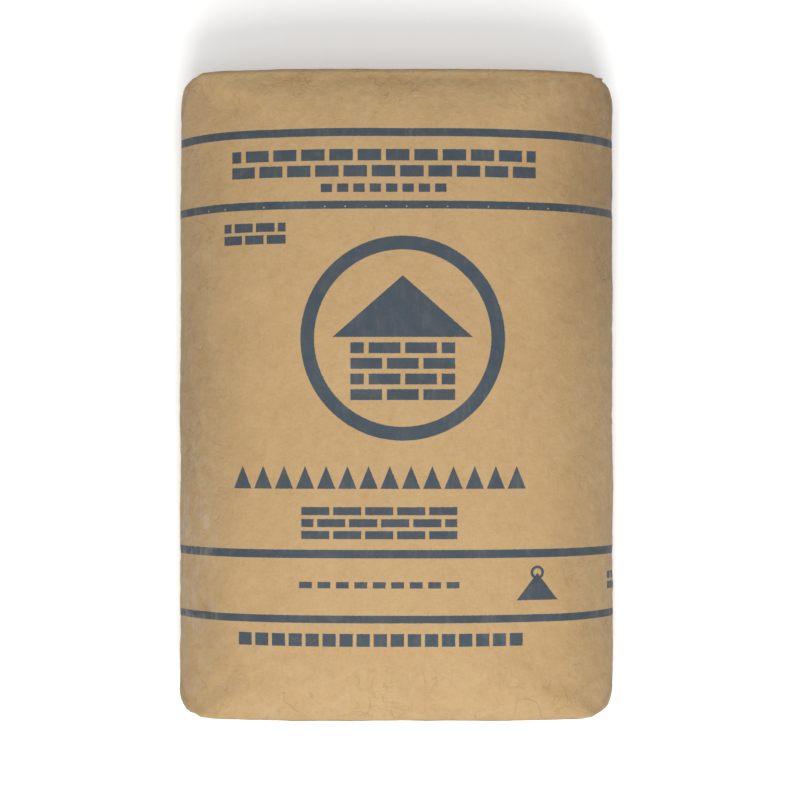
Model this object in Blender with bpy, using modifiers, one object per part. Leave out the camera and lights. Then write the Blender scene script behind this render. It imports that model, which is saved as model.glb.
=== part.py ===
"""A filled 50 kg cement sack of the pasted valve type, lying on its back.

Metres, +Z up. The sack lies on the floor at Z = 0 with its printed face up, its head end
towards +Y and its width along X. The origin is on the floor, under the middle of the sack.
"""
import math

import bmesh
import bpy
from mathutils import Matrix, Vector

# Driving dimensions of the filled sack, in metres
SACK_SIZE = Vector((0.420, 0.630, 0.148))
END_SIZE = Vector((0.386, 0.0, 0.116))
END_LIFT = 0.011
WALL = 0.0005
CLEARANCE = 0.0003
FILL_INSET = 0.0016
HEAD_SPACE = 0.0060

# Pasted paper trim, in metres
PATCH_LENGTH = 0.374
PATCH_WIDTH = 0.100
PATCH_THICKNESS = 0.0003
SLEEVE_WIDTH = 0.084
SLEEVE_THICKNESS = 0.0018
SLEEVE_WALL = 0.0003
SLEEVE_INSIDE = 0.105
SLEEVE_OUTSIDE = 0.002
SLEEVE_DEPTH = 0.0036
SLEEVE_SEGMENTS = 12

# Shape of the smoothing cage: stations from the middle (0) to the outside (1)
WIDTH_STATIONS = (0.26, 0.54, 0.78, 0.92)
LENGTH_STATIONS = (0.24, 0.48, 0.66, 0.86, 0.96)
THICKNESS_STATIONS = (0.40,)
UPPER_SQUARENESS = 3.2
LOWER_SQUARENESS = 4.4
END_SQUARENESS = 14.0
FULL_SHARE = 0.66
BULGE_ONSET = 1.8
BULGE_FULLNESS = 0.50
FLOOR_SHARE = 0.93
SMOOTHING_LEVELS = 1
PLANE_TOLERANCE = 1e-6

# Colours in linear light: base colour, roughness
KRAFT = ((0.455, 0.310, 0.165), 0.82)
PATCH_KRAFT = ((0.430, 0.285, 0.150), 0.80)
SLEEVE_KRAFT = ((0.520, 0.380, 0.225), 0.78)
CEMENT_GREY = ((0.330, 0.325, 0.305), 0.95)


def clear_scene():
    """Remove every object, so that the sack stands alone."""
    for obj in list(bpy.data.objects):
        bpy.data.objects.remove(obj, do_unlink=True)


def make_collection(name):
    """Return a new collection linked to the scene."""
    collection = bpy.data.collections.new(name)
    bpy.context.scene.collection.children.link(collection)
    return collection


def make_material(name, finish):
    """Return a dull Principled material of one colour and roughness."""
    colour, roughness = finish
    material = bpy.data.materials.new(name)
    material.use_nodes = True
    shader = material.node_tree.nodes["Principled BSDF"]
    shader.inputs["Base Color"].default_value = (*colour, 1.0)
    shader.inputs["Roughness"].default_value = roughness
    shader.inputs["Metallic"].default_value = 0.0
    material.diffuse_color = (*colour, 1.0)
    return material


def add_object(name, mesh_builder, collection, material=None):
    """Make a named object in a collection from a finished bmesh."""
    mesh = bpy.data.meshes.new(name)
    mesh_builder.to_mesh(mesh)
    mesh_builder.free()
    if material is not None:
        mesh.materials.append(material)
    obj = bpy.data.objects.new(name, mesh)
    collection.objects.link(obj)
    return obj


def cut_stations(cage, axis, stations):
    """Cut the two-unit cube square to one axis at each station, on both sides of the middle."""
    normal = Vector((0.0, 0.0, 0.0))
    normal[axis] = 1.0
    for station in (*stations, *(-value for value in stations)):
        everything = cage.verts[:] + cage.edges[:] + cage.faces[:]
        bmesh.ops.bisect_plane(cage, geom=everything, plane_co=normal * station, plane_no=normal)


def bulge_at(along):
    """Share of the bulge, from 0 at the folded ends to 1 along the full middle of the sack."""
    beyond_full = max(0.0, (abs(along) - FULL_SHARE) / (1.0 - FULL_SHARE))
    return (1.0 - beyond_full ** BULGE_ONSET) ** BULGE_FULLNESS


def shape_point(point):
    """Move one point of the two-unit cube to the form of the filled sack, standing on Z = 0."""
    across, along, up = point
    bulge = bulge_at(along)
    half_width = 0.5 * (END_SIZE.x + (SACK_SIZE.x - END_SIZE.x) * bulge)
    thickness = END_SIZE.z + (SACK_SIZE.z - END_SIZE.z) * bulge
    middle_squareness = UPPER_SQUARENESS if up > 0.0 else LOWER_SQUARENESS
    squareness = END_SQUARENESS + (middle_squareness - END_SQUARENESS) * bulge

    # Each point moves in along its own ray, which turns the square section into a rounded one
    rim = max(abs(across), abs(up))
    ray = Vector((across / rim, up / rim)) if rim > 0.0 else Vector((1.0, 0.0))
    reach = (abs(ray.x) ** squareness + abs(ray.y) ** squareness) ** (-1.0 / squareness)

    # The floor flattens the lower part, and the lower edges of the ends stand a little off it
    upper_part = thickness / (1.0 + FLOOR_SHARE)
    lower_part = thickness - upper_part
    height = max(up * reach * upper_part, -lower_part) + lower_part
    height += END_LIFT * (1.0 - bulge)
    return Vector((across * reach * half_width, along * 0.5 * SACK_SIZE.y, height))


def lies_flat(face, axis, place):
    """Tell whether a face lies in the plane square to one axis at the given place."""
    return all(abs(vert.co[axis] - place) < PLANE_TOLERANCE for vert in face.verts)


def borders_flat(edge, axis, place):
    """Tell whether an edge runs between a face in that plane and a face out of it."""
    return len({lies_flat(face, axis, place) for face in edge.link_faces}) > 1


def make_cage():
    """Return the coarse closed cage of the filled sack, creased round its flat faces."""
    cage = bmesh.new()
    bmesh.ops.create_cube(cage, size=2.0)
    cut_stations(cage, 0, WIDTH_STATIONS)
    cut_stations(cage, 1, LENGTH_STATIONS)
    cut_stations(cage, 2, THICKNESS_STATIONS)
    for vert in cage.verts:
        vert.co = shape_point(vert.co)

    # The end faces and the resting face stay flat up to a crisp edge
    half_length = 0.5 * SACK_SIZE.y
    flat_planes = ((1, half_length), (1, -half_length), (2, 0.0))
    crease = cage.edges.layers.float.new("crease_edge")
    for edge in cage.edges:
        if any(borders_flat(edge, axis, place) for axis, place in flat_planes):
            edge[crease] = 1.0
    return cage


def smooth_form(obj):
    """Smooth a cage with a Subdivision Surface modifier."""
    smoothing = obj.modifiers.new("Smooth form", "SUBSURF")
    smoothing.levels = SMOOTHING_LEVELS
    smoothing.render_levels = SMOOTHING_LEVELS


def fit_to_box(obj, low, high):
    """Stretch a cage so that its smoothed form fills the box from low to high exactly."""
    bpy.context.view_layer.update()
    evaluated = obj.evaluated_get(bpy.context.evaluated_depsgraph_get())
    points = [vert.co.copy() for vert in evaluated.to_mesh().vertices]
    evaluated.to_mesh_clear()
    form_low = Vector([min(point[axis] for point in points) for axis in range(3)])
    form_high = Vector([max(point[axis] for point in points) for axis in range(3)])
    form_size = form_high - form_low
    scale = Vector([(high[axis] - low[axis]) / form_size[axis] for axis in range(3)])
    placing = (
        Matrix.Translation(low)
        @ Matrix.Diagonal((*scale, 1.0))
        @ Matrix.Translation(-form_low)
    )
    obj.data.transform(placing)
    obj.data.update()


def shade_round(obj, angle=math.radians(40.0)):
    """Shade an object smooth, apart from its folds."""
    obj.data.shade_smooth()
    obj.data.set_sharp_from_angle(angle=angle)


def sleeve_place():
    """Return the middle plane of the valve sleeve along Y."""
    return 0.5 * SACK_SIZE.y - SLEEVE_DEPTH


def make_sack(collection, cutters, material):
    """Build the paper sack: a thin shell, open only where the valve sleeve passes."""
    sack = add_object("paper_sack", make_cage(), collection, material)
    smooth_form(sack)
    fit_to_box(
        sack,
        Vector((-0.5 * SACK_SIZE.x, -0.5 * SACK_SIZE.y, 0.0)),
        Vector((0.5 * SACK_SIZE.x, 0.5 * SACK_SIZE.y, SACK_SIZE.z)),
    )
    walls = sack.modifiers.new("Paper wall", "SOLIDIFY")
    walls.thickness = WALL
    walls.offset = -1.0
    walls.use_even_offset = True

    slot = sack.modifiers.new("Valve slot", "BOOLEAN")
    slot.operation = "DIFFERENCE"
    slot.object = make_slot_cutter(cutters)
    shade_round(sack)
    return sack


def make_slot_cutter(cutters):
    """Build the hidden block that opens the valve slot in the right-hand side panel."""
    cutter_mesh = bmesh.new()
    bmesh.ops.create_cube(cutter_mesh, size=1.0)
    reach = SLEEVE_OUTSIDE + 0.5 * (SACK_SIZE.x - END_SIZE.x)
    size = Vector((
        4.0 * reach,
        SLEEVE_THICKNESS + 2.0 * CLEARANCE,
        SLEEVE_WIDTH + 2.0 * CLEARANCE,
    ))
    middle = Vector((0.5 * END_SIZE.x, sleeve_place(), end_middle_height()))
    bmesh.ops.transform(
        cutter_mesh,
        matrix=Matrix.Translation(middle) @ Matrix.Diagonal((*size, 1.0)),
        verts=cutter_mesh.verts[:],
    )
    cutter = add_object("valve_slot_cutter", cutter_mesh, cutters)
    cutter.hide_render = True
    cutter.display_type = "WIRE"
    return cutter


def end_middle_height():
    """Return the height of the middle of the end faces above the floor."""
    return END_LIFT + 0.5 * END_SIZE.z


def make_cement(collection, material):
    """Build the cement: the sack's own form, drawn in from the walls and short at the head."""
    cement = add_object("cement", make_cage(), collection, material)
    smooth_form(cement)
    inset = Vector((FILL_INSET, FILL_INSET, FILL_INSET))
    fit_to_box(
        cement,
        Vector((-0.5 * SACK_SIZE.x, -0.5 * SACK_SIZE.y, 0.0)) + inset,
        Vector((0.5 * SACK_SIZE.x, 0.5 * SACK_SIZE.y - HEAD_SPACE, SACK_SIZE.z)) - inset,
    )
    shade_round(cement)
    return cement


def make_cover_patch(name, side, collection, material):
    """Build the paper strip pasted on one end face; side is +1 at the head, -1 at the foot."""
    strip = bmesh.new()
    bmesh.ops.create_cube(strip, size=1.0)
    place = 0.5 * SACK_SIZE.y + CLEARANCE + 0.5 * PATCH_THICKNESS
    middle = Vector((0.0, side * place, end_middle_height()))
    size = Vector((PATCH_LENGTH, PATCH_THICKNESS, PATCH_WIDTH))
    bmesh.ops.transform(
        strip,
        matrix=Matrix.Translation(middle) @ Matrix.Diagonal((*size, 1.0)),
        verts=strip.verts[:],
    )
    return add_object(name, strip, collection, material)


def make_valve_sleeve(collection, material):
    """Build the flat paper tube of the valve, which leaves the sack at its right-hand corner."""
    edge_radius = 0.5 * SLEEVE_THICKNESS
    spread = 0.5 * SLEEVE_WIDTH - edge_radius
    tube = bmesh.new()
    outline = bmesh.ops.create_circle(
        tube, cap_ends=False, segments=SLEEVE_SEGMENTS, radius=edge_radius
    )
    half_step = Matrix.Rotation(math.pi / SLEEVE_SEGMENTS, 4, "Z")
    turn = Matrix.Rotation(math.radians(90.0), 4, "Y")
    bmesh.ops.transform(tube, matrix=turn @ half_step, verts=tube.verts[:])

    # The round section is pulled apart into a flat one with round edges
    for vert in outline["verts"]:
        vert.co.z += math.copysign(spread, vert.co.z)
    inner_end = 0.5 * END_SIZE.x - SLEEVE_INSIDE
    start = Vector((inner_end, sleeve_place(), end_middle_height()))
    bmesh.ops.translate(tube, verts=tube.verts[:], vec=start)
    walls = bmesh.ops.extrude_edge_only(tube, edges=tube.edges[:])
    far_verts = [item for item in walls["geom"] if isinstance(item, bmesh.types.BMVert)]
    run = Vector((SLEEVE_INSIDE + SLEEVE_OUTSIDE, 0.0, 0.0))
    bmesh.ops.translate(tube, verts=far_verts, vec=run)
    bmesh.ops.recalc_face_normals(tube, faces=tube.faces[:])

    sleeve = add_object("valve_sleeve", tube, collection, material)
    paper = sleeve.modifiers.new("Paper wall", "SOLIDIFY")
    paper.thickness = SLEEVE_WALL
    paper.offset = -1.0
    shade_round(sleeve)
    return sleeve


def build():
    """Build the whole sack."""
    clear_scene()
    pieces = make_collection("cement_bag")
    cutters = make_collection("cutters")
    make_sack(pieces, cutters, make_material("sack_kraft", KRAFT))
    make_cement(pieces, make_material("cement_powder", CEMENT_GREY))
    patch_kraft = make_material("patch_kraft", PATCH_KRAFT)
    make_cover_patch("head_cover_patch", 1.0, pieces, patch_kraft)
    make_cover_patch("foot_cover_patch", -1.0, pieces, patch_kraft)
    make_valve_sleeve(pieces, make_material("sleeve_kraft", SLEEVE_KRAFT))


build()
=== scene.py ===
"""A filled paper sack of cement that lies on its back, in a plain pale studio.

Lengths are in metres, in the frame of the CAD model: X runs across the sack, Y along it to
the end with the filling valve, and Z up out of the printed face.
"""

import logging
import math
from dataclasses import dataclass
from enum import Enum
from random import Random

import bmesh
import bpy
import numpy as np
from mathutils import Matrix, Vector, noise
from mathutils.bvhtree import BVHTree


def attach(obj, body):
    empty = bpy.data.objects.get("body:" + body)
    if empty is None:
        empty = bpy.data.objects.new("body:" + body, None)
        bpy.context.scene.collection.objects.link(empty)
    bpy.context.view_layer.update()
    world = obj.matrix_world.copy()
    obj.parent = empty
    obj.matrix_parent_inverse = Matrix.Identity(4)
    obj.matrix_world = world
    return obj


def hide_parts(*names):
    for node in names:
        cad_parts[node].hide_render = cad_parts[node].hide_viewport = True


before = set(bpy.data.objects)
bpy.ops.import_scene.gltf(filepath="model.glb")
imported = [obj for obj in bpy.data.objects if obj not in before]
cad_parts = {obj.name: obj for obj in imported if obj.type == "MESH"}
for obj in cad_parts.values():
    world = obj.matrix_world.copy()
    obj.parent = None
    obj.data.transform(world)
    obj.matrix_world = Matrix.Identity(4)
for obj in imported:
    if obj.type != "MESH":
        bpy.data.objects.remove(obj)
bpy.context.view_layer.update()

LOG = logging.getLogger("sack")
BODY = "root"
TINY = 1e-6
MM = 0.001
FLOOR_Z = 0.0
Socket = bpy.types.NodeSocket
Colour = tuple[float, float, float]


class End(Enum):
    """The two pasted ends of the sack, by the sign of Y."""

    HEAD = 1
    FOOT = -1


class Panel(Enum):
    """The panels of the paper tube, in order from the printed front."""

    FRONT = "front"
    RIGHT = "right"
    BACK = "back"
    LEFT = "left"
    CLOSED_END = "end"


def smooth_step(value: np.ndarray, low: float, high: float) -> np.ndarray:
    """Rise smoothly from 0 at low to 1 at high.

    Args:
        value: numbers to turn into shares.
        low: where the rise starts.
        high: where the rise ends.

    Returns:
        An array of shares from 0 to 1.
    """
    share = np.clip((value - low) / (high - low), 0.0, 1.0)
    return share * share * (3.0 - 2.0 * share)


def read_vectors(items: bpy.types.bpy_prop_collection, name: str, width: int = 3) -> np.ndarray:
    """Read one vector property of every item of a mesh.

    Args:
        items: vertices, loops or values of an attribute.
        name: the property.
        width: how many numbers each vector has.

    Returns:
        An array with a row for each item.
    """
    flat = np.zeros(len(items) * width, np.float32)
    items.foreach_get(name, flat)
    return flat.reshape(-1, width).astype(float)


def write_points(mesh: bpy.types.Mesh, points: np.ndarray) -> None:
    """Move every vertex of a mesh.

    Args:
        mesh: the mesh to change.
        points: the new places, one row for each vertex.
    """
    mesh.vertices.foreach_set("co", points.astype(np.float32).ravel())
    mesh.update()


def write_shares(mesh: bpy.types.Mesh, name: str, shares: np.ndarray) -> None:
    """Keep one number for each vertex in an attribute that a material reads.

    Args:
        mesh: the mesh to change.
        name: the attribute's name.
        shares: the numbers.
    """
    layer = mesh.attributes.new(name, "FLOAT", "POINT")
    layer.data.foreach_set("value", shares.astype(np.float32))


def noise_at(points: np.ndarray, pitch: float, seed: float, octaves: int = 3) -> np.ndarray:
    """Sample fractal noise at some points.

    Args:
        points: places, one row each.
        pitch: size of the largest lumps.
        seed: shifts the pattern.
        octaves: how many finer layers are added.

    Returns:
        Numbers from about -1 to 1.
    """
    shift = Vector((seed * 7.13, seed * 3.71, seed * 5.37))
    scale = 1.0 / pitch
    values = [noise.fractal(Vector(p) * scale + shift, 1.0, 2.0, octaves) for p in points]
    return np.array(values)


def show_piece(name: str, mesh: bpy.types.Mesh, finish: bpy.types.Material) -> bpy.types.Object:
    """Put a finished mesh in the scene as a smooth-shaded piece.

    Args:
        name: the piece's name.
        mesh: its mesh, in place.
        finish: its material.

    Returns:
        The new object.
    """
    mesh.polygons.foreach_set("use_smooth", [True] * len(mesh.polygons))
    mesh.materials.clear()
    mesh.materials.append(finish)
    piece = bpy.data.objects.new(name, mesh)
    bpy.context.scene.collection.objects.link(piece)
    return piece


def bake_modifiers(piece: bpy.types.Object) -> bpy.types.Mesh:
    """Turn an object with modifiers into a plain mesh, and drop the object.

    Args:
        piece: the object.

    Returns:
        Its final mesh.
    """
    bpy.context.view_layer.update()
    graph = bpy.context.evaluated_depsgraph_get()
    mesh = bpy.data.meshes.new_from_object(piece.evaluated_get(graph))
    bpy.data.objects.remove(piece)
    return mesh


@dataclass(frozen=True)
class Slump:
    """How the flanks of the lying sack sink below its crown as the powder settles."""

    drop: float = 0.40
    half_width: float = 0.211
    power: float = 3.3
    end_share: float = 0.80

    def lower(self, places: np.ndarray) -> np.ndarray:
        """Sink points by their distance from the middle line.

        Args:
            places: places of the full sack, one row each.

        Returns:
            The places after it has settled.
        """
        reach = np.clip(np.abs(places[:, 0]) / self.half_width, 0.0, 1.05)
        near_end = smooth_step(np.abs(places[:, 1]), 0.20, 0.31)
        share = self.drop * (1.0 - (1.0 - self.end_share) * near_end) * reach**self.power
        lowered = places.copy()
        lowered[:, 2] *= 1.0 - share
        return lowered


class Graph:
    """Short calls that add nodes to one material. Each returns an output socket."""

    def __init__(self, name: str) -> None:
        """Start an empty material of that name."""
        self.material = bpy.data.materials.new(name)
        self.material.use_nodes = True
        self.tree = self.material.node_tree
        self.tree.nodes.clear()

    def node(self, kind: str, **settings: object) -> bpy.types.Node:
        """Add a node.

        Args:
            kind: its type, without the ShaderNode before it.
            settings: its own properties.

        Returns:
            The node.
        """
        made = self.tree.nodes.new("ShaderNode" + kind)
        for key, value in settings.items():
            setattr(made, key, value)
        return made

    def put(self, socket: Socket, value: Socket | float | tuple) -> None:
        """Link a socket to an output, or set it to a constant.

        Args:
            socket: the input.
            value: the output or constant.
        """
        if isinstance(value, Socket):
            self.tree.links.new(value, socket)
        else:
            socket.default_value = value

    def math(self, operation: str, *values: Socket | float, clamp: bool = False) -> Socket:
        """Add a Math node.

        Args:
            operation: its operation.
            values: its inputs.
            clamp: whether the result is kept from 0 to 1.

        Returns:
            Its result.
        """
        made = self.node("Math", operation=operation, use_clamp=clamp)
        for socket, value in zip(made.inputs, values):
            self.put(socket, value)
        return made.outputs[0]

    def sum_of(self, *values: Socket | float) -> Socket:
        """Add up several values."""
        total = values[0]
        for value in values[1:]:
            total = self.math("ADD", total, value)
        return total

    def product_of(self, *values: Socket | float) -> Socket:
        """Multiply several values."""
        total = values[0]
        for value in values[1:]:
            total = self.math("MULTIPLY", total, value)
        return total

    def most_of(self, *values: Socket | float) -> Socket:
        """Take the largest of several values."""
        total = values[0]
        for value in values[1:]:
            total = self.math("MAXIMUM", total, value)
        return total

    def least_of(self, *values: Socket | float) -> Socket:
        """Take the smallest of several values."""
        total = values[0]
        for value in values[1:]:
            total = self.math("MINIMUM", total, value)
        return total

    def share(self, value: Socket, low: float, high: float, to_low: float = 0.0, to_high: float = 1.0) -> Socket:
        """Map a value from one range to another, kept inside it.

        Args:
            value: the value.
            low: where the first range starts.
            high: where it ends.
            to_low: what low becomes.
            to_high: what high becomes.

        Returns:
            The mapped value.
        """
        made = self.node("MapRange", interpolation_type="SMOOTHSTEP")
        for index, item in enumerate((value, low, high, to_low, to_high)):
            self.put(made.inputs[index], item)
        return made.outputs[0]

    def grain(self, where: Socket, pitch: float, detail: float = 3.0, warp: float = 0.0, rough: float = 0.55) -> Socket:
        """Add a noise pattern.

        Args:
            where: coordinates in metres.
            pitch: size of its largest lumps in metres.
            detail: how many finer layers it has.
            warp: how much it is distorted.
            rough: how strong the finer layers are.

        Returns:
            A value about 0.5.
        """
        made = self.node("TexNoise")
        self.put(made.inputs["Vector"], where)
        made.inputs["Scale"].default_value = 1.0 / pitch
        made.inputs["Detail"].default_value = detail
        made.inputs["Distortion"].default_value = warp
        made.inputs["Roughness"].default_value = rough
        return made.outputs["Fac"]

    def stretched(self, where: Socket, scale: tuple, turn: float = 0.0, shift: tuple = (0.0, 0.0, 0.0)) -> Socket:
        """Stretch, turn and shift coordinates with a Mapping node.

        Args:
            where: coordinates.
            scale: factor for each axis.
            turn: angle about Z.
            shift: offset of each axis.

        Returns:
            The new coordinates.
        """
        made = self.node("Mapping")
        self.put(made.inputs["Vector"], where)
        made.inputs["Scale"].default_value = scale
        made.inputs["Rotation"].default_value = (0.0, 0.0, turn)
        made.inputs["Location"].default_value = shift
        return made.outputs["Vector"]

    def blend(self, share: Socket | float, first: Socket | Colour, second: Socket | Colour) -> Socket:
        """Mix two colours.

        Args:
            share: how much of the second.
            first: a colour.
            second: a colour.

        Returns:
            The mixed colour.
        """
        made = self.node("Mix", data_type="RGBA")
        self.put(made.inputs["Factor"], share)
        for name, colour in (("A", first), ("B", second)):
            socket = next(s for s in made.inputs if s.name == name and s.type == "RGBA")
            self.put(socket, colour if isinstance(colour, Socket) else (*colour, 1.0))
        return next(s for s in made.outputs if s.type == "RGBA")

    def shaded(self, colour: Socket, amount: Socket) -> Socket:
        """Multiply a colour by a grey value.

        Args:
            colour: the colour.
            amount: the grey value.

        Returns:
            The new colour.
        """
        made = self.node("VectorMath", operation="SCALE")
        self.put(made.inputs[0], colour)
        self.put(made.inputs["Scale"], amount)
        return made.outputs[0]

    def attribute(self, name: str) -> Socket:
        """Read a number that the piece keeps at each vertex."""
        return self.node("Attribute", attribute_name=name).outputs["Fac"]

    def finish(self, colour: Socket, roughness: Socket | float, height: Socket, depth: float, **constants: float) -> bpy.types.Material:
        """End the material in a Principled shader with a bump.

        Args:
            colour: its colour.
            roughness: its roughness.
            height: the bump's height, from 0 to 1.
            depth: what a height of 1 stands for, in metres.
            constants: numbers for the shader's own sockets.

        Returns:
            The material.
        """
        bump = self.node("Bump")
        bump.inputs["Strength"].default_value = 1.0
        bump.inputs["Distance"].default_value = depth
        self.put(bump.inputs["Height"], height)
        shader = self.node("BsdfPrincipled")
        self.put(shader.inputs["Base Color"], colour)
        self.put(shader.inputs["Roughness"], roughness)
        self.put(shader.inputs["Normal"], bump.outputs["Normal"])
        for name, value in constants.items():
            shader.inputs[name.replace("_", " ")].default_value = value
        output = self.node("OutputMaterial")
        self.tree.links.new(shader.outputs["BSDF"], output.inputs["Surface"])
        return self.material


@dataclass(frozen=True)
class Mark:
    """One printed mark, by its middle and size on the flat paper in millimetres."""

    x: float
    y: float
    width: float
    height: float


class Stencil:
    """Cuts shapes of printed ink out of the flat paper, as values from 0 to 1."""

    def __init__(self, graph: Graph, across: Socket, along: Socket, blur: float) -> None:
        """Keep the graph, the two paper coordinates in millimetres and the width of the ink's edge."""
        self.graph = graph
        self.across = across
        self.along = along
        self.blur = blur

    def slab(self, value: Socket, middle: float, half: float) -> Socket:
        """Ink where a value is within half of the middle."""
        graph = self.graph
        away = graph.math("ABSOLUTE", graph.math("SUBTRACT", value, middle))
        return graph.math("DIVIDE", graph.math("SUBTRACT", half + self.blur / 2, away), self.blur, clamp=True)

    def band(self, y: float, height: float) -> Socket:
        """A stripe that runs all round the sack."""
        return self.slab(self.along, y, height / 2)

    def box(self, mark: Mark) -> Socket:
        """A filled rectangle."""
        sides = self.slab(self.across, mark.x, mark.width / 2)
        return self.graph.least_of(sides, self.slab(self.along, mark.y, mark.height / 2))

    def frame(self, mark: Mark, line: float) -> Socket:
        """The outline of a rectangle."""
        inner = Mark(mark.x, mark.y, mark.width - 2 * line, mark.height - 2 * line)
        return self.graph.math("SUBTRACT", self.box(mark), self.box(inner), clamp=True)

    def distance(self, x: float, y: float) -> Socket:
        """How far the paper is from a point."""
        graph = self.graph
        dx = graph.math("SUBTRACT", self.across, x)
        dy = graph.math("SUBTRACT", self.along, y)
        return graph.math("SQRT", graph.sum_of(graph.math("MULTIPLY", dx, dx), graph.math("MULTIPLY", dy, dy)))

    def ring(self, x: float, y: float, radius: float, line: float) -> Socket:
        """A ring of that outer radius and line width. A line as wide as the radius is a disc."""
        return self.slab(self.distance(x, y), radius - line / 2, line / 2)

    def courses(self, mark: Mark, rows: int, count: int, joint: float) -> Socket:
        """Brick courses in running bond.

        Args:
            mark: the wall's place and size.
            rows: how many courses it has.
            count: how many bricks there are in a course.
            joint: width of the joints.

        Returns:
            The ink of the bricks.
        """
        graph = self.graph
        brick = (mark.width + joint) / count
        pitch = (mark.height + joint) / rows
        low = mark.y - (mark.height + joint) / 2
        left = mark.x - (mark.width + joint) / 2
        row = graph.math("DIVIDE", graph.math("SUBTRACT", self.along, low), pitch)
        in_row = graph.math("MULTIPLY", graph.math("FRACT", row), pitch)
        odd = graph.math("MODULO", graph.math("FLOOR", row), 2.0)
        step = graph.math("DIVIDE", graph.math("SUBTRACT", self.across, left), brick)
        step = graph.math("ADD", step, graph.math("MULTIPLY", odd, 0.5))
        in_brick = graph.math("MULTIPLY", graph.math("FRACT", step), brick)
        beds = self.slab(in_row, pitch / 2, (pitch - joint) / 2)
        ends = self.slab(in_brick, brick / 2, (brick - joint) / 2)
        return graph.least_of(self.box(mark), beds, ends)

    def teeth(self, mark: Mark, count: int) -> Socket:
        """A row of triangles that stand on one base line."""
        graph = self.graph
        pitch = mark.width / count
        step = graph.math("DIVIDE", graph.math("SUBTRACT", self.across, mark.x - mark.width / 2), pitch)
        in_tooth = graph.math("SUBTRACT", graph.math("FRACT", step), 0.5)
        away = graph.math("MULTIPLY", graph.math("ABSOLUTE", in_tooth), pitch)
        down = graph.math("SUBTRACT", mark.y + mark.height / 2, self.along)
        reach = graph.math("MULTIPLY", down, 0.45 * pitch / mark.height)
        slope = graph.math("DIVIDE", graph.math("SUBTRACT", reach, away), self.blur, clamp=True)
        return graph.least_of(self.box(mark), slope)

    def wedge(self, mark: Mark) -> Socket:
        """A triangle that stands on its base, as a gable does."""
        graph = self.graph
        down = graph.math("SUBTRACT", mark.y + mark.height / 2, self.along)
        reach = graph.math("MULTIPLY", down, mark.width / 2 / mark.height)
        away = graph.math("ABSOLUTE", graph.math("SUBTRACT", self.across, mark.x))
        slope = graph.math("DIVIDE", graph.math("SUBTRACT", reach, away), self.blur, clamp=True)
        return graph.least_of(slope, self.slab(self.along, mark.y, mark.height / 2))


@dataclass(frozen=True)
class SackPrint:
    """The plain slate blue print: four bands round the sack, and rows of bricks and simple marks."""

    bands: tuple = ((245.4, 7.6), (177.1, 7.5), (-149.9, 7.9), (-211.0, 7.2))
    pricked_band: float = 177.1
    prick_pitch: float = 19.2
    prick_radius: float = 0.65
    ink: Colour = (0.033, 0.050, 0.067)
    blur: float = 0.45

    def mask(self, graph: Graph, across: Socket, along: Socket) -> Socket:
        """Join all marks of the print.

        Args:
            graph: the material's graph.
            across: way round the tube from the middle of the front, in millimetres.
            along: way along the tube from its middle, in millimetres.

        Returns:
            The ink's cover from 0 to 1.
        """
        cut = Stencil(graph, across, along, self.blur)
        marks = [cut.band(y, height) for y, height in self.bands]
        marks.append(cut.courses(Mark(-12, 216.5, 288, 26), 2, 11, 4.4))
        marks.append(cut.courses(Mark(-12, 193, 118, 8), 1, 8, 4.6))
        marks.append(cut.courses(Mark(-134, 151, 60, 20), 2, 3, 3.0))
        marks.append(self.emblem(graph, cut))
        marks.append(cut.teeth(Mark(-16, -78, 278, 22), 14))
        marks.append(cut.courses(Mark(-16, -121, 146, 30), 3, 5, 3.6))
        marks.append(cut.courses(Mark(-16, -179, 150, 6), 1, 9, 5.2))
        marks.append(cut.wedge(Mark(133, -181, 40, 26)))
        marks.append(cut.ring(133, -168, 6.5, 2.6))
        marks.append(cut.courses(Mark(-15, -230.5, 268, 12), 1, 17, 3.4))
        marks.extend(self.side_marks(cut))
        return graph.most_of(*marks)

    def emblem(self, graph: Graph, cut: Stencil) -> Socket:
        """A ring round a gable that stands on a brick wall.

        Args:
            graph: the material's graph.
            cut: the stencil.

        Returns:
            The ink of the emblem.
        """
        middle_x, middle_y, radius = 6.0, 52.0, 96.0
        wall = cut.courses(Mark(middle_x, middle_y - 31.0, 98.0, 54.0), 4, 3, 4.4)
        gable = cut.wedge(Mark(middle_x, middle_y + 30.0, 132.0, 58.0))
        return graph.most_of(cut.ring(middle_x, middle_y, radius, 13.0), wall, gable)

    def side_marks(self, cut: Stencil) -> list[Socket]:
        """The small marks down the right side panel, of which the edges show from the front."""
        side = 251.0
        return [
            cut.ring(side, 203.0, 15.5, 5.0),
            cut.ring(side, 157.0, 6.0, 1.6),
            cut.box(Mark(side, 29.0, 3.0, 34.0)),
            cut.box(Mark(side, -102.0, 3.0, 34.0)),
            cut.courses(Mark(side, -179.0, 60.0, 17.0), 2, 3, 2.8),
            cut.ring(side, -236.0, 4.5, 1.4),
        ]

    def pricks(self, graph: Graph, across: Socket, along: Socket) -> Socket:
        """The row of needle holes along the second band.

        Args:
            graph: the material's graph.
            across: way round the tube in millimetres.
            along: way along it in millimetres.

        Returns:
            1 in a hole and 0 elsewhere.
        """
        pitch = self.prick_pitch
        step = graph.math("FRACT", graph.math("DIVIDE", graph.math("ADD", across, 40 * pitch), pitch))
        dx = graph.math("MULTIPLY", graph.math("SUBTRACT", step, 0.5), pitch)
        dy = graph.math("SUBTRACT", along, self.pricked_band - 1.6)
        away = graph.math("SQRT", graph.sum_of(graph.math("MULTIPLY", dx, dx), graph.math("MULTIPLY", dy, dy)))
        return graph.share(away, self.prick_radius + 0.4, self.prick_radius - 0.4)


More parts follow.
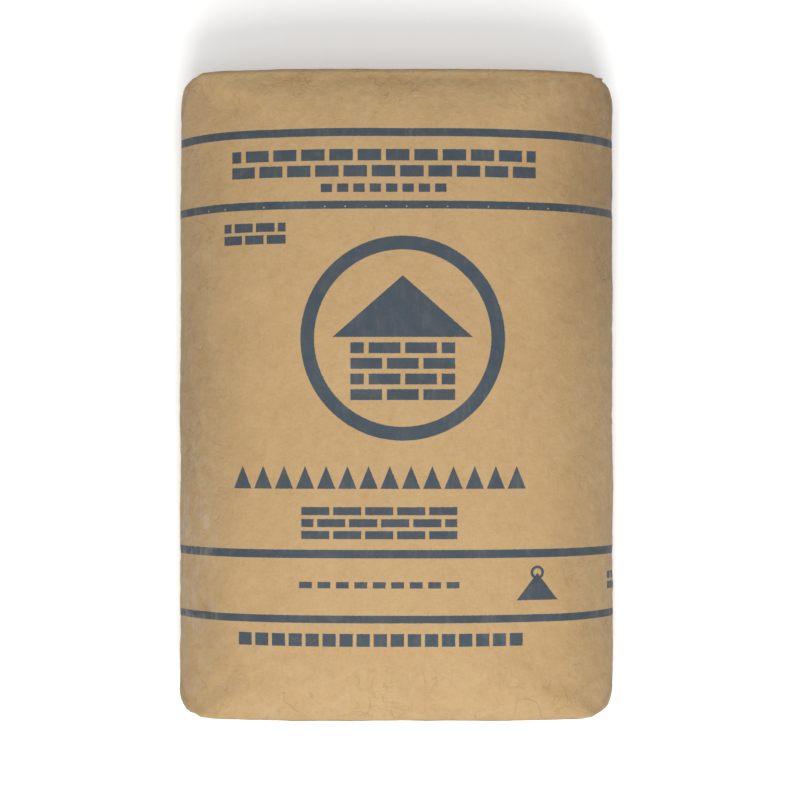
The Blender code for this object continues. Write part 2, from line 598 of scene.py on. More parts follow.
@dataclass(frozen=True)
class KraftFinish:
    """Dull brown kraft paper with cloudy pulp, fibres, soft creases, scuffs and cement dust, with painted shade in its
    creases and crumple lines and along two edges.
    """

    name: str
    light: Colour = (0.375, 0.254, 0.119)
    dark: Colour = (0.288, 0.181, 0.078)
    warm: Colour = (0.366, 0.232, 0.118)
    # A dark brown for painted shade: on the upper right and left edges, where it also browns the paper, and in the
    # crumple lines.
    brown_painted_shade: Colour = (0.190, 0.112, 0.046)
    scuff: Colour = (0.440, 0.345, 0.215)
    dust: Colour = (0.390, 0.352, 0.285)
    shade: float = 1.0
    uv_map: str = "paper"
    print_plan: SackPrint | None = None

    def make(self) -> bpy.types.Material:
        """Build the material.

        Returns:
            The material.
        """
        graph = Graph(self.name)
        where = graph.node("UVMap", uv_map=self.uv_map).outputs["UV"]
        clouds = graph.grain(where, 0.055, 5.0, 0.4)
        blotches = graph.grain(where, 0.011, 4.0, 0.3)
        pulp = graph.grain(where, 0.0028, 3.0)
        long_fibres = graph.grain(graph.stretched(where, (1.0, 0.16, 1.0), 0.05), 0.0011, 2.0, 0.6)
        cross_fibres = graph.grain(graph.stretched(where, (0.2, 1.0, 1.0), 0.35), 0.0013, 2.0, 0.6)
        flecks = graph.share(graph.grain(where, 0.0016, 1.0), 0.70, 0.78)
        wear = graph.attribute("wear")
        hollow = graph.attribute("hollow")
        dusty = graph.attribute("dust")
        handled = graph.attribute("handled")
        tone = graph.sum_of(
            graph.share(clouds, 0.30, 0.70, 0.10, 0.38),
            graph.share(blotches, 0.28, 0.72, 0.0, 0.24),
            graph.share(pulp, 0.22, 0.78, 0.0, 0.30),
            graph.share(long_fibres, 0.3, 0.7, 0.0, 0.20),
            graph.share(cross_fibres, 0.3, 0.7, -0.10, 0.10),
        )
        colour = graph.blend(graph.math("MULTIPLY", tone, 1.0, clamp=True), self.dark, self.light)
        tint = graph.share(graph.grain(where, 0.008, 3.0, 0.4), 0.38, 0.62, 0.0, 0.40)
        colour = graph.blend(tint, colour, self.warm)
        # Painted shade: darkens and browns the upper right edge and the middle of the left edge.
        colour = graph.blend(graph.product_of(graph.attribute("tan"), 0.62), colour, self.brown_painted_shade)
        colour = graph.blend(graph.product_of(flecks, 0.35), colour, self.dark)
        ridges = graph.math("ABSOLUTE", graph.math("SUBTRACT", graph.grain(where, 0.030, 3.0, 0.9), 0.5))
        gate = graph.share(graph.grain(where, 0.045, 2.0), 0.46, 0.60)
        lines = graph.product_of(graph.share(ridges, 0.013, 0.0), gate, handled)
        # Painted shade: the crumple lines are darkened toward the brown shade colour, as well as sunk in the bump.
        colour = graph.blend(graph.product_of(lines, 0.40), colour, self.brown_painted_shade)
        worn = graph.product_of(wear, graph.share(blotches, 0.30, 0.62), 0.55)
        colour = graph.blend(worn, colour, self.scuff)
        roughness = graph.share(clouds, 0.2, 0.8, 0.70, 0.82)
        if self.print_plan:
            colour = self.printed(graph, where, colour, clouds, pulp, long_fibres, wear)
        streaks = graph.grain(graph.stretched(where, (1.0, 0.14, 1.0)), 0.0042, 4.0, 0.5, 0.62)
        patches = graph.share(graph.grain(where, 0.021, 5.0, 0.6, 0.6), 0.40, 0.66)
        powder = graph.product_of(dusty, patches, graph.share(streaks, 0.36, 0.66, 0.15, 1.0))
        colour = graph.blend(powder, colour, self.dust)
        # Painted shade: the crease valleys and hollows, and the edges of the cover strips, are darkened in colour.
        painted_fold_shade = graph.math("SUBTRACT", 1.0, graph.math("MULTIPLY", hollow, 0.42))
        colour = graph.shaded(colour, graph.math("MULTIPLY", painted_fold_shade, self.shade))
        restless = graph.math("ADD", graph.math("MULTIPLY", handled, 0.9), 0.6)
        height = graph.sum_of(
            graph.product_of(graph.grain(where, 0.017, 2.0, 0.5), 1.5),
            graph.product_of(graph.grain(where, 0.006, 3.0, 0.3), restless, 0.75),
            graph.product_of(lines, -0.45),
            graph.product_of(pulp, 0.24),
            graph.product_of(long_fibres, 0.08),
            graph.product_of(cross_fibres, 0.06),
        )
        return graph.finish(
            colour, roughness, height, 0.0007, Specular_IOR_Level=0.25, Sheen_Weight=0.03, Sheen_Roughness=0.6
        )

    def printed(
        self, graph: Graph, where: Socket, paper: Socket, clouds: Socket, pulp: Socket, fibres: Socket, wear: Socket
    ) -> Socket:
        """Lay the ink over the paper, thinner where it is rubbed.

        Args:
            graph: the material's graph.
            where: paper coordinates in metres.
            paper: the bare paper's colour.
            clouds: the large noise.
            pulp: the fine noise.
            fibres: the fibre noise.
            wear: how worn the paper is.

        Returns:
            The colour of the printed paper.
        """
        split = graph.node("SeparateXYZ")
        graph.put(split.inputs[0], where)
        ragged = graph.math("MULTIPLY", graph.math("SUBTRACT", pulp, 0.5), 0.9)
        across = graph.math("ADD", graph.math("MULTIPLY", split.outputs[0], 1000.0), ragged)
        along = graph.math("ADD", graph.math("MULTIPLY", split.outputs[1], 1000.0), ragged)
        plan = self.print_plan
        cover = plan.mask(graph, across, along)
        thin = graph.share(graph.grain(where, 0.034, 5.0, 0.6), 0.36, 0.70, 1.0, 0.975)
        specks = graph.share(graph.grain(where, 0.0021, 3.0, 0.0, 0.7), 0.60, 0.76, 1.0, 0.80)
        rubbed = graph.math("SUBTRACT", 1.0, graph.product_of(wear, graph.share(fibres, 0.35, 0.6), 0.5))
        cover = graph.product_of(cover, thin, specks, rubbed, 0.995)
        ink = graph.blend(graph.share(clouds, 0.35, 0.65), tuple(0.88 * c for c in plan.ink), plan.ink)
        colour = graph.blend(cover, paper, ink)
        open_share = graph.share(graph.grain(where, 0.013, 1.0), 0.42, 0.58, 0.15, 0.85)
        holes = graph.product_of(plan.pricks(graph, across, along), open_share)
        return graph.blend(holes, colour, self.scuff)


@dataclass(frozen=True)
class CementFinish:
    """Packed grey cement powder."""

    name: str
    light: Colour = (0.375, 0.370, 0.350)
    dark: Colour = (0.255, 0.252, 0.240)

    def make(self) -> bpy.types.Material:
        """Build the material.

        Returns:
            The material.
        """
        graph = Graph(self.name)
        where = graph.node("TexCoord").outputs["Object"]
        lumps = graph.grain(where, 0.02, 5.0)
        powder = graph.grain(where, 0.0015, 4.0)
        tone = graph.sum_of(graph.product_of(lumps, 0.6), graph.product_of(powder, 0.4))
        colour = graph.blend(graph.share(tone, 0.3, 0.7), self.dark, self.light)
        height = graph.sum_of(graph.product_of(lumps, 0.8), graph.product_of(powder, 0.2))
        return graph.finish(colour, graph.share(powder, 0.2, 0.8, 0.90, 0.98), height, 0.0008)


@dataclass(frozen=True)
class FloorFinish:
    """A plain pale studio floor."""

    name: str
    light: Colour = (0.95, 0.95, 0.945)
    dark: Colour = (0.93, 0.93, 0.925)

    def make(self) -> bpy.types.Material:
        """Build the material.

        Returns:
            The material.
        """
        graph = Graph(self.name)
        where = graph.node("TexCoord").outputs["Object"]
        clouds = graph.grain(where, 0.6, 3.0)
        colour = graph.blend(graph.share(clouds, 0.3, 0.7), self.dark, self.light)
        height = graph.grain(where, 0.002, 2.0)
        return graph.finish(colour, graph.share(clouds, 0.3, 0.7, 0.72, 0.80), height, 0.00003, Specular_IOR_Level=0.2)


@dataclass(frozen=True)
class Crease:
    """A crease between two points of the flat paper, in millimetres. Its height is up for a ridge."""

    start: tuple[float, float]
    stop: tuple[float, float]
    height: float
    width: float

    def press(self, across: np.ndarray, along: np.ndarray) -> np.ndarray:
        """Work out how high the crease lifts the paper.

        Args:
            across: way round the tube of each point, in millimetres.
            along: way along it, in millimetres.

        Returns:
            The lift in millimetres.
        """
        run = np.subtract(self.stop, self.start)
        length = max(float(np.hypot(*run)), TINY)
        dx = across - self.start[0]
        dy = along - self.start[1]
        place = np.clip((dx * run[0] + dy * run[1]) / length**2, 0.0, 1.0)
        away = np.hypot(dx - place * run[0], dy - place * run[1])
        fade = 0.35 + 0.65 * np.sin(np.pi * place)
        return self.height * fade * np.exp(-away / self.width)


@dataclass
class SackSkin:
    """The kraft tube with its two folded ends, blown up by a cloth simulation round its fill."""

    front: float = 0.386
    side: float = 0.116
    length: float = 0.617
    full_width: float = 0.4215
    full_height: float = 0.148
    start_height: float = 0.139
    end_bulge: float = 0.0030
    end_keep: float = 0.30
    corner_round: float = 0.028
    shoulder: float = 0.100
    lift: float = 0.0006
    cell: float = 0.0066
    frames: int = 38
    pressure: float = 8.0
    seed: int = 11
    slump: Slump = Slump()

    @property
    def girth(self) -> float:
        """Way once round the tube."""
        return 2.0 * (self.front + self.side)

    def way_round(self, cube: np.ndarray, panel: Panel) -> np.ndarray:
        """Find how far round the tube points of one panel are.

        Args:
            cube: cube coordinates of the points.
            panel: the panel they are on.

        Returns:
            Metres round the tube from the middle of the front, positive to the right.
        """
        u, w = cube[:, 0], cube[:, 2]
        half = self.front / 2
        if panel == Panel.RIGHT:
            return half + (1.0 - w) / 2 * self.side
        if panel == Panel.LEFT:
            return -half - (1.0 - w) / 2 * self.side
        if panel == Panel.BACK:
            return half + self.side + (1.0 - u) / 2 * self.front
        return u * half

    def panel_of(self, middle: np.ndarray) -> Panel:
        """Name the panel of a face by its middle on the cube."""
        axis = int(np.argmax(np.abs(middle)))
        if axis == 1:
            return Panel.CLOSED_END
        if axis == 2:
            return Panel.FRONT if middle[2] > 0 else Panel.BACK
        return Panel.RIGHT if middle[0] > 0 else Panel.LEFT

    def cube_grid(self) -> bpy.types.Mesh:
        """Make a cube of even cells that stands for the folded paper, with its flat coordinates kept on it.

        Returns:
            A mesh with the attribute cube and the UV map paper.
        """
        work = bmesh.new()
        bmesh.ops.create_cube(work, size=2.0)
        for axis, span in enumerate((self.front, self.length, self.side)):
            cuts = 2 * max(1, round(span / self.cell / 2)) - 1
            edges = [e for e in work.edges if abs((e.verts[1].co - e.verts[0].co)[axis]) > TINY]
            bmesh.ops.subdivide_edges(work, edges=edges, cuts=cuts)
        mesh = bpy.data.meshes.new("paper_sack_skin")
        work.to_mesh(mesh)
        work.free()
        cube = read_vectors(mesh.vertices, "co")
        layer = mesh.attributes.new("cube", "FLOAT_VECTOR", "POINT")
        layer.data.foreach_set("vector", cube.astype(np.float32).ravel())
        paper = mesh.uv_layers.new(name="paper")
        flat = np.zeros((len(mesh.loops), 2))
        for face in mesh.polygons:
            points = cube[list(face.vertices)]
            panel = self.panel_of(points.mean(axis=0))
            along = points[:, 1] * self.length / 2
            if panel == Panel.CLOSED_END:
                along = along + np.sign(along) * (1.0 - points[:, 2]) / 2 * self.side
            rows = list(face.loop_indices)
            flat[rows, 0] = self.way_round(points, panel)
            flat[rows, 1] = along
        paper.uv.foreach_set("vector", flat.astype(np.float32).ravel())
        return mesh

    def round_section(self, way: np.ndarray, width: np.ndarray, height: np.ndarray) -> tuple[np.ndarray, np.ndarray]:
        """Walk round a rounded rectangle whose way round is the tube's girth.

        Args:
            way: metres round the tube.
            width: the rectangle's width at each point.
            height: its height at each point.

        Returns:
            The places across and up, from its middle.
        """
        radius = np.maximum((2.0 * (width + height) - self.girth) / (8.0 - 2.0 * math.pi), TINY)
        turn = (way + self.girth / 2) % self.girth - self.girth / 2
        hand = np.where(turn < 0, -1.0, 1.0)
        run = np.abs(turn)
        flat = width / 2 - radius
        tall = height / 2 - radius
        arc = math.pi * radius / 2
        first = (run - flat) / radius
        second = (run - flat - arc - 2 * tall) / radius
        stages = [run < flat, run < flat + arc, run < flat + arc + 2 * tall, run < flat + 2 * arc + 2 * tall]
        across = np.select(
            stages,
            [run, flat + radius * np.sin(first), width / 2, flat + radius * np.cos(second)],
            self.girth / 2 - run,
        )
        up = np.select(
            stages,
            [height / 2, tall + radius * np.cos(first), tall - (run - flat - arc), -tall - radius * np.sin(second)],
            -height / 2,
        )
        return hand * across, up

    def filled_shape(self, cube: np.ndarray) -> np.ndarray:
        """Shape the paper as a sack that is filled but not yet settled.

        Args:
            cube: cube coordinates of the vertices.

        Returns:
            Their places.
        """
        along = cube[:, 1] * self.length / 2
        depth = self.length / 2 - np.abs(along)
        swell = smooth_step(depth, 0.0, self.shoulder)
        share = np.clip(depth / self.corner_round, 0.0, 1.0)
        widen = np.sqrt(np.clip(1.0 - (1.0 - share) ** 2, 0.0, 1.0))
        width = self.front + (self.full_width - self.front) * widen
        height = self.side + (self.start_height - self.side) * swell
        way = np.select(
            [cube[:, 2] > 1 - TINY, cube[:, 0] > 1 - TINY, cube[:, 2] < -1 + TINY],
            [self.way_round(cube, panel) for panel in (Panel.FRONT, Panel.RIGHT, Panel.BACK)],
            self.way_round(cube, Panel.LEFT),
        )
        across, up = self.round_section(way, width, height)
        inner = np.maximum(np.abs(cube[:, 0]), np.abs(cube[:, 2])) < 1 - TINY
        across = np.where(inner, cube[:, 0] * self.front / 2, across)
        up = np.where(inner, cube[:, 2] * self.side / 2, up)
        bulge = self.end_bulge * (1.0 - cube[:, 0] ** 4) * (1.0 - cube[:, 2] ** 2)
        along = along + np.where(depth < TINY, np.sign(along) * bulge, 0.0)
        return np.column_stack([across, along, up + self.start_height / 2 + self.lift])

    def press_form(self, name: str) -> bpy.types.Object:
        """Make the crowned form over the sack that its weight and handling flatten it against.

        Args:
            name: the form's name.

        Returns:
            A collision object that faces down.
        """
        work = bmesh.new()
        bmesh.ops.create_grid(work, x_segments=24, y_segments=30, size=1.0)
        bmesh.ops.scale(work, vec=(0.27, 0.36, 1.0), verts=work.verts[:])
        for vertex in work.verts:
            drop = 0.010 * (abs(vertex.co.x) / 0.19) ** 2.5 + 0.007 * (abs(vertex.co.y) / 0.30) ** 4
            vertex.co.z = self.full_height + 0.001 - drop
        bmesh.ops.reverse_faces(work, faces=work.faces[:])
        return self.collider(name, work, 1.0)

    def ground_form(self, name: str) -> bpy.types.Object:
        """Make the ground that the sack lies on.

        Args:
            name: its name.

        Returns:
            A collision object.
        """
        work = bmesh.new()
        bmesh.ops.create_grid(work, x_segments=1, y_segments=1, size=2.0)
        bmesh.ops.translate(work, vec=(0.0, 0.0, -0.001), verts=work.verts[:])
        return self.collider(name, work, 5.0)

    def collider(self, name: str, work: bmesh.types.BMesh, grip: float) -> bpy.types.Object:
        """Turn a bmesh into something that cloth can't pass.

        Args:
            name: the object's name.
            work: its shape, which is used up.
            grip: its friction.

        Returns:
            The object.
        """
        mesh = bpy.data.meshes.new(name)
        work.to_mesh(mesh)
        work.free()
        made = bpy.data.objects.new(name, mesh)
        bpy.context.scene.collection.objects.link(made)
        made.modifiers.new("stop", "COLLISION")
        made.collision.thickness_outer = 0.001
        made.collision.cloth_friction = grip
        return made

    def settle(self, mesh: bpy.types.Mesh, cube: np.ndarray) -> bpy.types.Mesh:
        """Fill the sack by simulation until its paper is taut.

        Args:
            mesh: the sack at its start.
            cube: cube coordinates of its vertices.

        Returns:
            The settled mesh.
        """
        sack = bpy.data.objects.new("settling_sack", mesh)
        bpy.context.scene.collection.objects.link(sack)
        stiff = sack.vertex_groups.new(name="folded_ends")
        stiff.add([int(i) for i in np.flatnonzero(np.abs(cube[:, 1]) > 0.985)], 1.0, "REPLACE")
        forms = [self.ground_form("settling_ground"), self.press_form("settling_press")]
        cloth = sack.modifiers.new("cloth", "CLOTH")
        paper = cloth.settings
        paper.quality = 8
        paper.mass = 0.001
        paper.tension_stiffness = 3000.0
        paper.compression_stiffness = 1500.0
        paper.shear_stiffness = 800.0
        paper.bending_stiffness = 1.0
        paper.bending_stiffness_max = 40.0
        paper.vertex_group_bending = stiff.name
        paper.tension_damping = paper.compression_damping = paper.shear_damping = 5.0
        paper.bending_damping = 0.5
        paper.air_damping = 1.0
        paper.effector_weights.gravity = 0.0
        paper.use_pressure = paper.use_pressure_volume = True
        paper.target_volume = 0.0
        paper.uniform_pressure_force = self.pressure
        paper.pressure_factor = 1.0
        paper.fluid_density = 0.0
        cloth.collision_settings.distance_min = 0.001
        cloth.collision_settings.collision_quality = 2
        cloth.collision_settings.use_self_collision = False
        cloth.point_cache.frame_start = 1
        cloth.point_cache.frame_end = self.frames + 5
        for number in range(1, self.frames + 1):
            bpy.context.scene.frame_set(number)
        settled = bake_modifiers(sack)
        for form in forms:
            bpy.data.objects.remove(form)
        bpy.context.scene.frame_set(1)
        return settled

    def refine(self, mesh: bpy.types.Mesh) -> bpy.types.Mesh:
        """Round the settled paper with one level of subdivision."""
        rough = bpy.data.objects.new("rough_sack", mesh)
        bpy.context.scene.collection.objects.link(rough)
        smoother = rough.modifiers.new("round", "SUBSURF")
        smoother.levels = smoother.render_levels = 1
        return bake_modifiers(rough)

    def handling_creases(self) -> list[Crease]:
        """List the creases of the folded tube, those that the photograph shows, and light random ones.

        Returns:
            The creases, in millimetres of flat paper.
        """
        fold = self.front / 2 / MM
        middle = fold + self.side / 2 / MM
        far = fold + self.side / MM
        end = self.length / 2 / MM
        made = []
        for hand in (-1, 1):
            made.append(Crease((hand * middle, -end + 60), (hand * middle, end - 60), 0.7, 2.2))
            for sign in (-1, 1):
                tip = (hand * middle, sign * (end - 58))
                made.append(Crease((hand * (fold + 2), sign * (end - 2)), tip, -1.3, 3.2))
                made.append(Crease((hand * (far - 2), sign * (end - 2)), tip, -1.3, 3.2))
                low = (hand * (fold - 12), sign * (end - 52))
                made.append(Crease((hand * (fold - 2), sign * (end - 10)), low, -0.35, 2.6))
        made.append(Crease((178, 297), (200, 304), -1.1, 1.8))
        made.append(Crease((182, 302), (199, 299), 0.7, 1.8))
        made.append(Crease((208, 292), (197, 268), -0.9, 2.2))
        made.append(Crease((132, 15), (160, 21), -0.6, 1.8))
        made.append(Crease((141, -40), (150, -44), 0.5, 1.8))
        made.append(Crease((-198, -192), (-178, -212), -1.0, 3.0))
        made.append(Crease((-205, -168), (-186, -186), 0.8, 3.0))
        made.append(Crease((-184, -302), (-168, -312), -0.8, 2.2))
        made.append(Crease((-176, -300), (-160, -312), 0.7, 2.2))
        made.append(Crease((-168, -302), (-153, -313), -0.6, 2.2))
        made.append(Crease((-20, -309), (-8, -314), -0.6, 2.0))
        made.append(Crease((-14, -309), (0, -314), 0.5, 2.0))
        made.append(Crease((-196, 60), (-180, 20), -0.7, 3.2))
        made.append(Crease((-202, -60), (-184, -120), 0.8, 3.4))
        dice = Random(self.seed)
        for _ in range(90):
            edge = dice.random() < 0.7
            reach = dice.uniform(150, 340) if edge else dice.uniform(0, 180)
            spot = (dice.choice((-1, 1)) * reach, dice.uniform(-0.97, 0.97) * end)
            angle = dice.uniform(0, math.pi)
            size = dice.uniform(8, 34)
            tip = (spot[0] + size * math.cos(angle), spot[1] + size * math.sin(angle))
            rise = dice.choice((-1, 1)) * dice.uniform(0.15, 0.55) * (1.0 if edge else 0.45)
            made.append(Crease(spot, tip, rise, dice.uniform(1.6, 3.2)))
        return made

    def relief(self, cube: np.ndarray, places: np.ndarray) -> tuple[np.ndarray, np.ndarray, np.ndarray]:
        """Work out the fine relief of the handled paper, where it is worn, and the painted shade of its creases and
        hollows.

        Args:
            cube: cube coordinates of the vertices.
            places: their places.

        Returns:
            The lift in metres, the wear and the painted shade of the hollows, one number for each vertex.
        """
        on_tube = np.abs(cube[:, 1]) < 1 - TINY
        kinds = np.argmax(np.abs(cube) * np.array([1.0, 0.0, 1.0]), axis=1)
        across = np.zeros(len(cube))
        for panel, chosen in (
            (Panel.FRONT, (kinds == 2) & (cube[:, 2] > 0)),
            (Panel.BACK, (kinds == 2) & (cube[:, 2] <= 0)),
            (Panel.RIGHT, (kinds == 0) & (cube[:, 0] > 0)),
            (Panel.LEFT, (kinds == 0) & (cube[:, 0] <= 0)),
        ):
            across[chosen] = self.way_round(cube[chosen], panel) / MM
        along = cube[:, 1] * self.length / 2 / MM
        pressed = np.zeros(len(cube))
        for crease in self.handling_creases():
            pressed += crease.press(across, along)
        pressed = np.clip(pressed, -2.2, 1.8) * on_tube
        edge = smooth_step(np.abs(across), 120.0, 215.0)
        near_end = smooth_step(np.abs(along), 215.0, 300.0)
        restless = 0.35 + 0.9 * np.maximum(edge, 0.8 * near_end)
        broad = noise_at(places, 0.085, 1.0, 2) * 0.9
        middle = noise_at(places, 0.030, 2.0, 3) * 0.55 * restless
        ridged = (0.5 - np.abs(noise_at(places, 0.020, 3.0, 3))) * 0.55 * restless
        lift = (broad + middle + ridged) * np.where(on_tube, 1.0, 0.45) + pressed
        lift += self.flap_relief(cube)
        wear = np.clip(np.maximum(pressed, 0.0) * 0.9 + np.maximum(ridged - 0.12, 0.0) * 1.2, 0.0, 1.0)
        # Painted shade: the valleys of creases and noise are darkened in colour.
        hollow = np.clip(-pressed * 0.34 + np.maximum(-ridged - 0.1, 0.0) * 0.5, 0.0, 1.0)
        return lift * MM, wear, hollow

    def flap_relief(self, cube: np.ndarray) -> np.ndarray:
        """Lift of the two long flaps and the corner triangles that the ends are folded from.

        Args:
            cube: cube coordinates of the vertices.

        Returns:
            The lift in millimetres, which is nothing off the ends.
        """
        on_end = np.abs(cube[:, 1]) > 1 - TINY
        across = np.abs(cube[:, 0]) * self.front / 2 / MM
        up = cube[:, 2] * self.side / 2 / MM
        apex = (self.front - self.side) / 2 / MM
        inside = across - apex - np.abs(up)
        triangle = smooth_step(inside, -1.5, 1.5)
        upper_flap = smooth_step(up, -9.0, -6.0)
        lift = 0.8 * upper_flap * (1.0 - triangle) - 0.8 * triangle
        lift -= 0.9 * np.exp(-np.abs(inside) / 2.4)
        return lift * on_end

    def calm_ends(self, cube: np.ndarray, places: np.ndarray) -> np.ndarray:
        """Flatten the two ends, which their pasted layers hold stiff, between their folds.

        Args:
            cube: cube coordinates of the vertices.
            places: their places.

        Returns:
            The places with flatter ends.
        """
        calmed = places.copy()
        for end in End:
            sign = end.value
            on_end = cube[:, 1] * sign > 1 - TINY
            upper = on_end & (cube[:, 2] > 1 - TINY)
            lower = on_end & (cube[:, 2] < -1 + TINY)
            folds = []
            for fold in (upper, lower):
                order = np.argsort(cube[fold, 0])
                folds.append(np.interp(cube[:, 0], cube[fold, 0][order], (sign * places[fold, 1])[order]))
            up = (1.0 + cube[:, 2]) / 2
            flat = up * folds[0] + (1.0 - up) * folds[1]
            bulge = sign * places[:, 1] - flat
            calmed[:, 1] = np.where(on_end, sign * (flat + self.end_keep * bulge), calmed[:, 1])
        return calmed

    def handled_at(self, places: np.ndarray) -> np.ndarray:
        """Say how much handling has crumpled the paper: most along the edges and at the ends."""
        sides = smooth_step(np.abs(places[:, 0]), 0.120, 0.205)
        ends = smooth_step(np.abs(places[:, 1]), 0.215, 0.300)
        return np.maximum(sides, 0.8 * ends)

    def tan_and_painted_shade_at(self, places: np.ndarray) -> np.ndarray:
        """Say where the paper is painted darker and browner: painted shade and a browner tone along the upper right
        edge and the middle of the left one.
        """
        right = smooth_step(places[:, 0], 0.120, 0.214) * smooth_step(places[:, 1], -0.060, 0.200)
        left = smooth_step(-places[:, 0], 0.165, 0.212) * np.exp(-((places[:, 1] / 0.140) ** 2))
        return np.clip(right + 0.55 * left, 0.0, 1.0)

    def dust_at(self, places: np.ndarray) -> np.ndarray:
        """Say where cement dust has rubbed into the paper: on the shoulders, the ends and the left edge.

        Args:
            places: places of the vertices.

        Returns:
            A share from 0 to 1 for each vertex.
        """
        shoulder = smooth_step(np.abs(places[:, 0]), 0.160, 0.212)
        end = smooth_step(np.abs(places[:, 1]), 0.270, 0.318)
        left = np.exp(-(((places[:, 0] + 0.200) / 0.030) ** 2)) * np.exp(-(((places[:, 1] + 0.155) / 0.090) ** 2))
        valve = np.exp(-(((places[:, 0] - 0.200) / 0.060) ** 2)) * np.exp(-(((places[:, 1] - 0.310) / 0.050) ** 2))
        middle = 0.06 + 0.05 * noise_at(places, 0.12, 9.0, 2)
        return np.clip(middle + 0.06 * shoulder + 0.10 * end + 0.50 * left + 0.10 * valve, 0.0, 1.0)

    def build(self) -> bpy.types.Mesh:
        """Make the finished skin: folded, filled, settled, rounded and creased.

        Returns:
            The mesh, with the attributes wear, painted hollow shade and dust.
        """
        mesh = self.cube_grid()
        cube = read_vectors(mesh.attributes["cube"].data, "vector")
        write_points(mesh, self.filled_shape(cube))
        mesh = self.settle(mesh, cube)
        settled = self.calm_ends(cube, read_vectors(mesh.vertices, "co"))
        write_points(mesh, self.slump.lower(settled))
        mesh = self.refine(mesh)
        cube = read_vectors(mesh.attributes["cube"].data, "vector")
        places = read_vectors(mesh.vertices, "co")
        normals = read_vectors(mesh.vertices, "normal")
        lift, wear, hollow = self.relief(cube, places)
        places = places + normals * lift[:, None]
        places[:, 2] -= places[:, 2].min()
        places[:, 2] = np.where(places[:, 2] < 0.9 * MM, places[:, 2] * 0.25, places[:, 2] - 0.675 * MM)
        write_points(mesh, places)
        write_shares(mesh, "wear", wear)
        # Painted shade in the creases and hollows.
        write_shares(mesh, "hollow", hollow)
        write_shares(mesh, "dust", self.dust_at(places))
        write_shares(mesh, "handled", self.handled_at(places))
        # Painted shade, partly a browner paper, on the upper right edge and the middle of the left edge.
        write_shares(mesh, "tan", self.tan_and_painted_shade_at(places))
        LOG.info("skin: %d vertices, volume box %s", len(places), np.ptp(places, axis=0).round(4).tolist())
        return mesh

    def dress(self, mesh: bpy.types.Mesh) -> bpy.types.Object:
        """Give the skin its printed paper and put it in place of the CAD sack."""
        finish = KraftFinish("printed_kraft", print_plan=SackPrint()).make()
        piece = show_piece("sack_skin", mesh, finish)
        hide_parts("paper_sack")
        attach(piece, BODY)
        return piece


@dataclass
class CoverPatch:
    """The kraft strip that is pasted over the folds of one end."""

    end: End
    node: str
    length: float = 0.374
    width: float = 0.100
    thickness: float = 0.0004
    gap: float = 0.0004
    middle_z: float = 0.070
    seed: float = 4.0
    slump: Slump = Slump()

    def build(self, tree: BVHTree) -> bpy.types.Mesh:
        """Lay a grid of paper on the end and thicken it.

        Args:
            tree: the skin's surface.

        Returns:
            The strip's mesh.
        """
        work = bmesh.new()
        bmesh.ops.create_grid(work, x_segments=124, y_segments=34, size=1.0)
        flat = [v.co.copy() for v in work.verts]
        toward = Vector((0.0, -float(self.end.value), 0.0))
        paper = work.loops.layers.uv.new("paper")
        for face in work.faces:
            for loop in face.loops:
                spot = flat[loop.vert.index] if loop.vert.index >= 0 else loop.vert.co
                loop[paper].uv = (spot.x * self.length / 2 + 1.3, spot.y * self.width / 2 + 0.7 * self.end.value)
        for vertex, spot in zip(work.verts, flat):
            rag = noise.fractal(Vector((spot.x * 14, spot.y * 6, self.seed)), 1.0, 2.0, 3)
            x = spot.x * (self.length / 2 + 0.0006 * rag)
            z = self.middle_z + spot.y * (self.width / 2 + 0.0006 * rag)
            z = self.slump.lower(np.array([[x, 0.31, z]]))[0, 2]
            hit = tree.ray_cast(Vector((x, 0.5 * self.end.value, z)), toward)[0]
            if hit is None:
                hit = tree.find_nearest(Vector((x, 0.31 * self.end.value, z)))[0]
            vertex.co = hit - toward * self.gap
        if self.end == End.FOOT:
            bmesh.ops.reverse_faces(work, faces=work.faces[:])
        work.normal_update()
        mesh = bpy.data.meshes.new(self.node + "_paper")
        work.to_mesh(mesh)
        work.free()
        strip = bpy.data.objects.new("strip", mesh)
        bpy.context.scene.collection.objects.link(strip)
        wall = strip.modifiers.new("wall", "SOLIDIFY")
        wall.thickness = self.thickness
        wall.offset = -1.0
        return bake_modifiers(strip)

    def dress(self, mesh: bpy.types.Mesh) -> bpy.types.Object:
        """Give the strip its paper and put it in place of its CAD node."""
        places = read_vectors(mesh.vertices, "co")
        x_edge = smooth_step(np.abs(places[:, 0]), self.length / 2 - 0.006, self.length / 2)
        z_edge = smooth_step(np.abs(places[:, 2] - self.middle_z), self.width / 2 - 0.006, self.width / 2)
        edge = np.maximum(x_edge, z_edge)
        write_shares(mesh, "wear", 0.25 * edge)
        # Painted shade along the strip's edges, partly a glue line there.
        write_shares(mesh, "hollow", 0.55 * edge)
        write_shares(mesh, "dust", 0.15 + 0.20 * edge)
        finish = KraftFinish(self.node + "_kraft", shade=0.90).make()
        piece = show_piece(self.node + "_strip", mesh, finish)
        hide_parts(self.node)
        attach(piece, BODY)
        return piece


